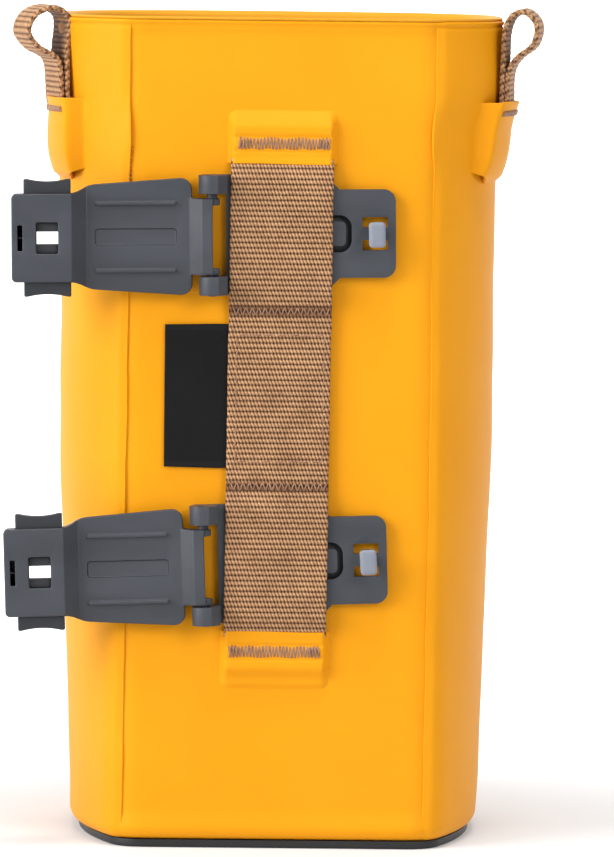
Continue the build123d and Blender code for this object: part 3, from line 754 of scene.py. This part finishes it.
def build_label():
    """A blank woven tab, folded at its free edge and caught under the strip."""
    low, high = node_box("label_tab")
    rib_step = 0.42
    warp_step = 0.5
    bulge_reach = 14
    thick = high.y - low.y
    fold = thick / 2
    section = [(x, -fold) for x in spread(high.x, low.x + fold, 110)]
    section += [(low.x + fold - fold * sin(turn), -fold * cos(turn))
                for turn in spread(0.3, pi - 0.3, 7)]
    section += [(x, fold) for x in spread(low.x + fold, high.x, 12)]
    rows = spread(low.z, high.z, 190)
    points = []
    heights = []
    for z in rows:
        hem = 1 - smooth(min(z - low.z, high.z - z) / 0.5)
        for x, out in section:
            warp = cos(2 * pi * (x / warp_step + 0.5 * (z // rib_step)))
            rib = 0.5 + 0.5 * cos(2 * pi * z / rib_step) * warp
            selvage = smooth((1.7 - min(z - low.z, high.z - z)) / 0.2)
            lift = 0.5 * smooth((low.x + bulge_reach - x) / bulge_reach)
            lift *= 0.6 + wander(x, z, 0, 15, 5.0)
            squeeze = 1 - 0.35 * hem
            relief = 0.035 * rib if out < 0 else 0.0
            y = (low.y + high.y) / 2 + (out - relief) * squeeze - lift
            slant = 0.3 * wander(x, 0, 0, 18, 6.0) * (1 if z > 110 else -1) * hem
            points.append(Vector((x, y, z + slant)))
            # The rib height also picks the label's colour: painted shade in the grooves between ribs,
            # painted highlight on the ribs.
            heights.append(min(1.0, rib * (0.75 + 0.25 * selvage)))
    ring = len(section)
    faces = grid_faces(len(rows), ring, closed=True)
    last = (len(rows) - 1) * ring
    faces.append(tuple(reversed(range(ring))))
    faces.append(tuple(range(last, last + ring)))
    return make_piece("label_woven", points, faces, LABEL, ("label_tab",), "bag", heights)


THREAD_SIDES = 6
HOLE_DEPTH = 0.45


class Stitching:
    """Collects thread tubes, then makes them into one piece."""

    def __init__(self):
        self.points = []
        self.faces = []
        self.heights = []

    def thread(self, line, radius):
        """One run of thread along a line of points."""
        sides = THREAD_SIDES
        first = len(self.points)
        for index, point in enumerate(line):
            before = line[max(index - 1, 0)]
            after = line[min(index + 1, len(line) - 1)]
            heading = (after - before).normalized()
            across = heading.cross(Vector((0, -1, 0.2))).normalized()
            up = across.cross(heading)
            for side in range(sides):
                turn = 2 * pi * side / sides
                self.points.append(point + (across * cos(turn) + up * sin(turn)) * radius)
                self.heights.append(0.55 + 0.35 * wander(point.x, point.y, point.z, 0.6, side))
        self.faces += grid_faces(len(line), sides, closed=True, start=first)
        last = first + (len(line) - 1) * sides
        self.faces.append(tuple(reversed(range(first, first + sides))))
        self.faces.append(tuple(range(last, last + sides)))

    def stitch(self, start, end, outward, rise, radius):
        """One stitch between two holes, standing a little proud in its middle."""
        line = []
        for share in (0.0, 0.07, 0.2, 0.4, 0.6, 0.8, 0.93, 1.0):
            level = -HOLE_DEPTH + (rise + HOLE_DEPTH) * smooth(min(share, 1 - share) / 0.22)
            line.append(start.lerp(end, share) + outward * level)
        self.thread(line, radius)

    def finish(self, name):
        return make_piece(name, self.points, self.faces, THREAD, (), "bag", self.heights)


OUT = Vector((0, -1, 0))


def build_zigzags():
    """Dense zigzag rows through both anchor patches and the webbing under them."""
    sewing = Stitching()
    spans = (("upper_anchor_patch", -10.9, 11.6), ("lower_anchor_patch", -11.4, 11.1))
    for node, left, right in spans:
        low, high = node_box(node)
        half = (high.x - low.x) / 2
        long = high.z - low.z
        upper = low.z > 100

        def on_patch(x, from_mouth):
            z = low.z + from_mouth if upper else high.z - from_mouth
            height = anchor_height(x, from_mouth, half, long)
            return panel_point(x + strip_shift(z), z) + OUT * height

        teeth = 26
        pitch = (right - left) / (teeth + 0.5)
        turns = []
        for tooth in range(teeth + 1):
            x = left + pitch * tooth
            turns.append(on_patch(x, 3.3 + 0.1 * sin(5 * tooth)))
            turns.append(on_patch(x + pitch / 2, 6.8 + 0.1 * cos(7 * tooth)))
        for first, second in zip(turns, turns[1:]):
            sewing.stitch(first, second, OUT, 0.3, 0.19)
        # extra passes that lock both ends
        for start, step in ((left, 1), (right, -1)):
            for count in range(4):
                x = start + step * pitch * (count * 0.9 + 0.3)
                sewing.stitch(on_patch(x, 3.7), on_patch(x + 0.35, 6.3), OUT, 0.5, 0.2)
    return sewing.finish("stitching_patches")


def build_strip_stitches():
    """Straight rows and tack rows that hold the strip to the panel."""
    sewing = Stitching()

    def on_strip(x, z):
        return Vector((x + strip_shift(z), eased_strip_front(z) - 0.02, z))

    long_stitch = 0.16
    for z in (128.4, 97.0):
        for x in spread(-10.3, 8.3, 7):
            end = on_strip(x + 2.75, z + 0.12 * sin(x))
            sewing.stitch(on_strip(x, z), end, OUT, 0.16, long_stitch)
    for x in (-10.6, 11.05):
        for z in spread(97.0, 125.4, 10):
            end = on_strip(x + 0.1 * sin(z), z + 2.7)
            sewing.stitch(on_strip(x, z), end, OUT, 0.1, long_stitch)
    for z in (SEWN[0] + 1.3, SEWN[1] - 1.3):
        for index, x in enumerate(spread(-11.6, 11.4, 30)):
            reach = 1.0 if index % 2 else -1.0
            sewing.stitch(on_strip(x, z - reach), on_strip(x + 0.75, z + reach), OUT, 0.1, 0.17)
    return sewing.finish("stitching_strip")


def build_side_tacks():
    """Short bar tacks through the side patches and the loops' tails."""
    sewing = Stitching()
    for node, side in (("side_patch_right", 1), ("side_patch_left", -1)):
        low, high = node_box(node)

        def on_side(along, z):
            angle = angle_at(SIDE_Y + along, z, side)
            return wall_point(angle, z, -side_height(along, z, low.z, high.z)), outward_at(angle, z)

        pitch = 0.8
        for step in range(22):
            along = -8.4 + pitch * step
            first, outward = on_side(along, high.z - 3.5)
            second, _ = on_side(along + pitch / 2, high.z - 2.0)
            third, _ = on_side(along + pitch, high.z - 3.5)
            sewing.stitch(first, second, outward, 0.3, 0.22)
            sewing.stitch(second, third, outward, 0.3, 0.22)
    return sewing.finish("stitching_sides")


def build_seam_tacks():
    """A short run of tack stitches along the left seam, under its loose part."""
    sewing = Stitching()
    for z in spread(165.5, 174.5, 10):
        x = seam_x(-1, z) + 0.5
        low_end = wall_point(angle_of(x, z), z, LAP - 0.15)
        high_end = wall_point(angle_of(x - 0.9, z + 0.45), z + 0.45, 0.35)
        sewing.stitch(low_end, high_end, OUT, 0.12, 0.14)
    piece = sewing.finish("stitching_seam")
    piece.data.materials[0] = YELLOW_THREAD
    return piece


STUD_HEAD_Y = BACK_Y + LAP - 8.3  # face of the studs' heads
STUD_HALF = (2.07, 3.12)
SLOT_HALF = (6.2, 4.9)
SLOT_FROM_STUD = 12.0


def clip_frame(word):
    """Middle of a stud's head, and the directions to the right and up of its clip."""
    button_low, button_high = node_box(f"{word}_clip_top_button")
    other_low, other_high = node_box(f"{word}_clip_bottom_button")
    up = (button_low + button_high) - (other_low + other_high)
    up = Vector((up.x, 0, up.z)).normalized()
    right = Vector((up.z, 0, -up.x))
    head = [vertex.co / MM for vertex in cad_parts[f"{word}_clip_base"].data.vertices
            if vertex.co.y / MM < STUD_HEAD_Y + 0.05 and vertex.co.x > 0]
    middle = sum(head, Vector()) / len(head)
    return Vector((middle.x, 0, middle.z)), right, up


def plate_piece(name, outline_rings, material, word):
    """A small moulded piece built from closed rings of points, capped on its front."""
    ring = len(outline_rings[0])
    points = [point for outline in outline_rings for point in outline]
    faces = grid_faces(len(outline_rings), ring, closed=True)
    faces.append(tuple(range((len(outline_rings) - 1) * ring, len(outline_rings) * ring)))
    return make_piece(f"{word}_{name}", points, faces, material)


def rounded_box(half_x, half_z, radius, steps=6):
    """Points round a rectangle with rounded corners, as (x, z) pairs."""
    ring = []
    for corner in range(4):
        sign_x, sign_z = ((1, 1), (-1, 1), (-1, -1), (1, -1))[corner]
        for step in range(steps + 1):
            turn = pi / 2 * (corner + step / steps)
            ring.append((sign_x * (half_x - radius) + radius * cos(turn),
                         sign_z * (half_z - radius) + radius * sin(turn)))
    return ring


def build_clip_details(word):
    """The stud head's crowned face in a lighter grey (painted highlight), and dark painted shade under
    the tongue's slot.
    """
    stud, right, up = clip_frame(word)
    rings = []
    for inset, rise in ((0.0, -0.5), (0.02, 0.0), (0.3, 0.2), (0.7, 0.34), (1.15, 0.42)):
        rings.append([stud + right * x + up * z + Vector((0, STUD_HEAD_Y - rise, 0))
                      for x, z in rounded_box(STUD_HALF[0] - inset, STUD_HALF[1] - inset,
                                              0.9 - inset * 0.5)])
    plate_piece("stud_crown", rings, STUD_PAINTED_HIGHLIGHT, word)
    # A near-black sheet behind the tongue's slot: painted shade standing in for the deep shadow in the
    # slot.
    shade_sheet_y = node_box(f"{word}_clip_base")[1].y - 0.35
    rings = []
    for inset, rise in ((0.0, -0.1), (0.1, 0.0)):
        rings.append([stud - right * SLOT_FROM_STUD + right * x + up * z + Vector((0, shade_sheet_y - rise, 0))
                      for x, z in rounded_box(SLOT_HALF[0] - inset, SLOT_HALF[1] - inset, 2.5)])
    plate_piece("slot_painted_shade", rings, SOLE_DARK_AND_PAINTED_SHADE, word)


for word in ("upper", "lower"):
    build_clip_details(word)

build_anchor("patch_upper", "upper_anchor_patch")
build_anchor("patch_lower", "lower_anchor_patch")
build_side_patch("patch_right", 1, "side_patch_right")
build_side_patch("patch_left", -1, "side_patch_left")
build_label()
build_zigzags()
build_strip_stitches()
build_side_tacks()
build_seam_tacks()

# ---------------------------------------------------------------- carry loops
LOOP_LOW, LOOP_HIGH = node_box("carry_loop_right")
PATCH_TOP = node_box("side_patch_right")[1].z
LOOP_THICK = 1.25
LOOP_STEP = 0.25
# middle line of each loop: out from the wall and up from the patch's mouth
RIGHT_EYE = ((-0.8, -5), (0.2, 0), (0.3, 5), (0.5, 12), (0.8, 17.5), (2.5, 21.4), (5.8, 22.4),
             (8.7, 19.3),
             (7.9, 14.4), (4.1, 11.2), (2.2, 8.4), (1.6, 5), (1.5, 0), (0.6, -5))
LEFT_EYE = ((-0.4, -5), (0.8, 0), (1.0, 5), (1.0, 12), (0.5, 17), (1.0, 20.4), (4.4, 22.3),
            (9.0, 20.6),
            (10.9, 16.4), (8.4, 12.6), (4.2, 10.2), (2.8, 7.2), (2.3, 0), (1.1, -5))


def catmull(points, steps):
    """A smooth line through points, with a given number of steps between each two."""
    line = []
    for index in range(len(points) - 1):
        before = points[max(index - 1, 0)]
        first, second = points[index], points[index + 1]
        after = points[min(index + 2, len(points) - 1)]
        for step in range(steps):
            t = step / steps
            line.append(0.5 * (2 * first + (second - before) * t
                               + (2 * before - 5 * first + 4 * second - after) * t * t
                               + (3 * first - before - 3 * second + after) * t ** 3))
    line.append(points[-1])
    return line


def resample(line, spacing):
    """Evenly spaced points along a line, with the length along it."""
    result = [(line[0], 0.0)]
    walked = 0.0
    due = spacing
    for first, second in zip(line, line[1:]):
        length = (second - first).length
        while walked + length >= due:
            share = (due - walked) / length
            result.append((first.lerp(second, share), due))
            due += spacing
        walked += length
    return result


def build_loop(name, side, eye, turned, replaced):
    """One folded loop of webbing; turned is how far it faces the viewer, in degrees."""
    middle_y = (LOOP_LOW.y + LOOP_HIGH.y) / 2
    wall = abs(wall_point(0 if side > 0 else pi, PATCH_TOP).x)
    spin = radians(turned)
    across = Vector((side * sin(spin), cos(spin), 0))
    out = Vector((side * cos(spin), -sin(spin), 0))
    base_angle = atan2(middle_y - CENTRE_Y, side * wall)
    base = wall_point(base_angle, PATCH_TOP)
    line = catmull([Vector((x, 0, z)) for x, z in eye], 12)
    placed = resample([base + out * p.x + Vector((0, 0, p.z)) for p in line], LOOP_STEP)
    stations = []
    for index, (point, along) in enumerate(placed):
        before = placed[max(index - 1, 0)][0]
        after = placed[min(index + 1, len(placed) - 1)][0]
        heading = (after - before).normalized()
        normal = across.cross(heading).normalized()
        stations.append((point, across, normal, along))
    return strap(name, stations, LOOP_HIGH.y - LOOP_LOW.y, LOOP_THICK, 84, replaced, relief=0.3)


build_loop("loop_right", 1, RIGHT_EYE, 7, ("carry_loop_right",))
build_loop("loop_left", -1, LEFT_EYE, 15, ("carry_loop_left",))

# ---------------------------------------------------------------- camera, light and floor
CAMERA_FROM = Vector((-9, -1649, 239))
CAMERA_AT = Vector((7.1, BACK_Y, 105.25))
CAMERA_ROLL = radians(0.65)
CAMERA_LENS = 272.4
MIDDLE = (0, 0, 0.1)  # what most of the lights face
SWEEP = 8  # half the floor's width, in metres
SWEEP_BEND = 0.5  # where the floor's far sheet begins
SWEEP_END = 6  # where the backdrop stands, clear of a camera behind the object
GLOW_REACH = 0.4  # distance over which the floor's glow grows


def build_camera():
    camera = bpy.data.objects.new("camera", bpy.data.cameras.new("camera"))
    bpy.context.scene.collection.objects.link(camera)
    camera.data.lens = CAMERA_LENS
    camera.data.clip_end = 20
    camera.location = CAMERA_FROM * MM
    look = (CAMERA_AT - CAMERA_FROM).to_track_quat("-Z", "Y").to_matrix()
    camera.rotation_euler = (look @ Matrix.Rotation(CAMERA_ROLL, 3, "Z")).to_euler()
    bpy.context.scene.camera = camera


def area_light(name, place, aim, size, power):
    """A white softbox that faces a point."""
    data = bpy.data.lights.new(name, "AREA")
    data.shape = "RECTANGLE"
    data.size, data.size_y = size
    data.energy = power
    light = bpy.data.objects.new(name, data)
    bpy.context.scene.collection.objects.link(light)
    light.location = place
    light.rotation_euler = (Vector(aim) - Vector(place)).to_track_quat("-Z", "Y").to_euler()


def sheet_of(name, corners, colour, glow, glow_far=None):
    """One flat sheet of the white sweep round the object; its glow may grow towards the backdrop."""
    mesh = bpy.data.meshes.new(name)
    mesh.from_pydata(corners, [], [(0, 1, 2, 3)])
    sheet = bpy.data.objects.new(name, mesh)
    bpy.context.scene.collection.objects.link(sheet)
    shade = Shade(name, roughness=0.9, specular=0.0)
    shade.shader.inputs["Base Color"].default_value = (*colour, 1)
    shade.shader.inputs["Emission Color"].default_value = (1, 1, 1, 1)
    shade.shader.inputs["Emission Strength"].default_value = glow
    if glow_far:
        axes = shade.add("ShaderNodeSeparateXYZ")
        shade.link(shade.place, axes.inputs["Vector"])
        growth = shade.add("ShaderNodeMapRange", From_Max=GLOW_REACH, To_Min=glow, To_Max=glow_far)
        shade.link(axes.outputs["Y"], growth.inputs["Value"])
        shade.link(growth.outputs["Result"], shade.shader.inputs["Emission Strength"])
    mesh.materials.append(shade.material)


def build_stage():
    front_left, front_right = (-SWEEP, -SWEEP, 0), (SWEEP, -SWEEP, 0)
    bend_left, bend_right = (-SWEEP, SWEEP_BEND, 0), (SWEEP, SWEEP_BEND, 0)
    end_left, end_right = (-SWEEP, SWEEP_END, 0), (SWEEP, SWEEP_END, 0)
    top_left, top_right = (-SWEEP, SWEEP_END, SWEEP), (SWEEP, SWEEP_END, SWEEP)
    white = (0.8, 0.8, 0.8)
    sheet_of("floor", [front_left, front_right, bend_right, bend_left], (0.6, 0.61, 0.62), 0.2, 1.0)
    sheet_of("floor_back", [bend_left, bend_right, end_right, end_left], white, 1.0)
    sheet_of("backdrop", [end_left, end_right, top_right, top_left], white, 1.1)
    world = bpy.data.worlds.new("world")
    world.use_nodes = True
    world.node_tree.nodes["Background"].inputs["Color"].default_value = (1, 1, 1, 1)
    world.node_tree.nodes["Background"].inputs["Strength"].default_value = 0.3
    bpy.context.scene.world = world
    bpy.context.scene.view_settings.view_transform = "Standard"


build_camera()
build_stage()
area_light("key", (-1.5, -1.1, 0.9), MIDDLE, (0.9, 1.3), 32)
area_light("side", (-2.0, -0.6, 0.35), (0, 0, 0.11), (0.7, 1.2), 15)
area_light("fill", (1.3, -2.1, 1.2), MIDDLE, (0.9, 0.9), 20)
area_light("top", (0.1, -0.45, 1.9), MIDDLE, (0.9, 0.4), 20)


def smooth_shading(sharp_from):
    """A modifier's node group: curves shade smoothly, edges sharper than an angle stay crisp."""
    group = bpy.data.node_groups.new("smooth curves", "GeometryNodeTree")
    group.interface.new_socket("Geometry", in_out="INPUT", socket_type="NodeSocketGeometry")
    group.interface.new_socket("Geometry", in_out="OUTPUT", socket_type="NodeSocketGeometry")
    entry = group.nodes.new("NodeGroupInput")
    forget = group.nodes.new("GeometryNodeRemoveAttribute")
    forget.inputs["Name"].default_value = "custom_normal"
    faces = group.nodes.new("GeometryNodeSetShadeSmooth")
    faces.domain = "FACE"
    angle = group.nodes.new("GeometryNodeInputMeshEdgeAngle")
    sharp = group.nodes.new("FunctionNodeCompare")
    sharp.operation = "GREATER_THAN"
    sharp.inputs[1].default_value = sharp_from
    every_edge = group.nodes.new("GeometryNodeSetShadeSmooth")
    every_edge.domain = "EDGE"
    edges = group.nodes.new("GeometryNodeSetShadeSmooth")
    edges.domain = "EDGE"
    edges.inputs["Shade Smooth"].default_value = False
    leave = group.nodes.new("NodeGroupOutput")
    group.links.new(entry.outputs[0], forget.inputs["Geometry"])
    group.links.new(forget.outputs["Geometry"], faces.inputs["Geometry"])
    group.links.new(faces.outputs["Geometry"], every_edge.inputs["Geometry"])
    group.links.new(every_edge.outputs["Geometry"], edges.inputs["Geometry"])
    group.links.new(angle.outputs["Unsigned Angle"], sharp.inputs[0])
    group.links.new(sharp.outputs["Result"], edges.inputs["Selection"])
    group.links.new(edges.outputs["Geometry"], leave.inputs[0])
    return group


SMOOTHED = smooth_shading(radians(33))


def cad_material(name):
    """The material of a CAD node whose own mesh is shown, or None where a piece replaces it."""
    if "button" in name:
        return BUTTON
    if "spring" in name:
        return STEEL
    if "clip" in name or "latch" in name:
        return PLASTIC
    # The base sole is a dark sole whose near-black is partly painted shadow: it also stands in for the
    # contact shadow under the foot.
    return SOLE_DARK_AND_PAINTED_SHADE if name == "base_sole" else None


def dress(node, name, material):
    """Gives a CAD node its material, rounded edges and smooth curves."""
    node.data.materials.clear()
    node.data.materials.append(material)
    joined = node.modifiers.new("joined faces", "WELD")
    joined.merge_threshold = 0.002 * MM
    merged = node.modifiers.new("flat faces in one", "DECIMATE")
    merged.decimate_type = "DISSOLVE"
    merged.angle_limit = radians(0.4)
    rounding = node.modifiers.new("rounded edges", "BEVEL")
    rounding.width = 0.32 * MM
    rounding.segments = 3
    rounding.limit_method = "ANGLE"
    rounding.angle_limit = radians(40)
    rounding.use_clamp_overlap = "base" in name
    rounding.loop_slide = False
    shading = node.modifiers.new("smooth curves", "NODES")
    shading.node_group = SMOOTHED


for name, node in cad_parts.items():
    material = cad_material(name)
    if material:
        dress(node, name, material)
